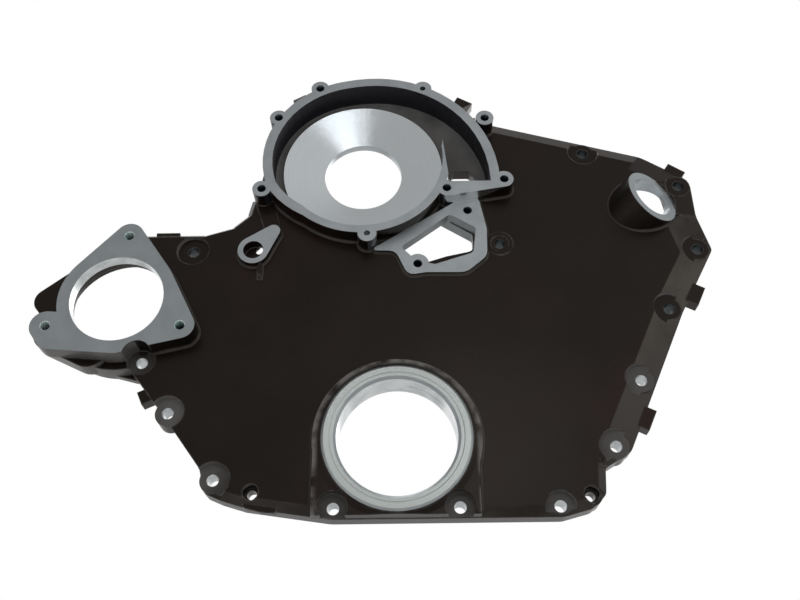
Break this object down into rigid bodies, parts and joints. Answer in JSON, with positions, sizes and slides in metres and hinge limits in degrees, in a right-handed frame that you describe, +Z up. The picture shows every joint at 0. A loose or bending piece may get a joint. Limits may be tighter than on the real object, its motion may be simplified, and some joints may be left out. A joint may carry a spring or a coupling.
{
  "type": "timing cover",
  "caption": "Cast engine timing cover with a crankshaft seal bore, a water pump volute round a funnel, an accessory drive flange and a leaning oil filler neck.",
  "frame": {"origin": "on the crankshaft's axis in the plane of the face that bolts to the block, just behind the seal bore", "axes": "+X to the right as seen from the front, +Z up, front of the cover towards -Y"},
  "size_m": [0.6755, 0.053, 0.477],
  "materials": {
    "timing_cover": "black paint, machined faces bare"
  },
  "bodies": {
    "root": {"timing_cover": "timing_cover"}
  },
  "joints": []
}
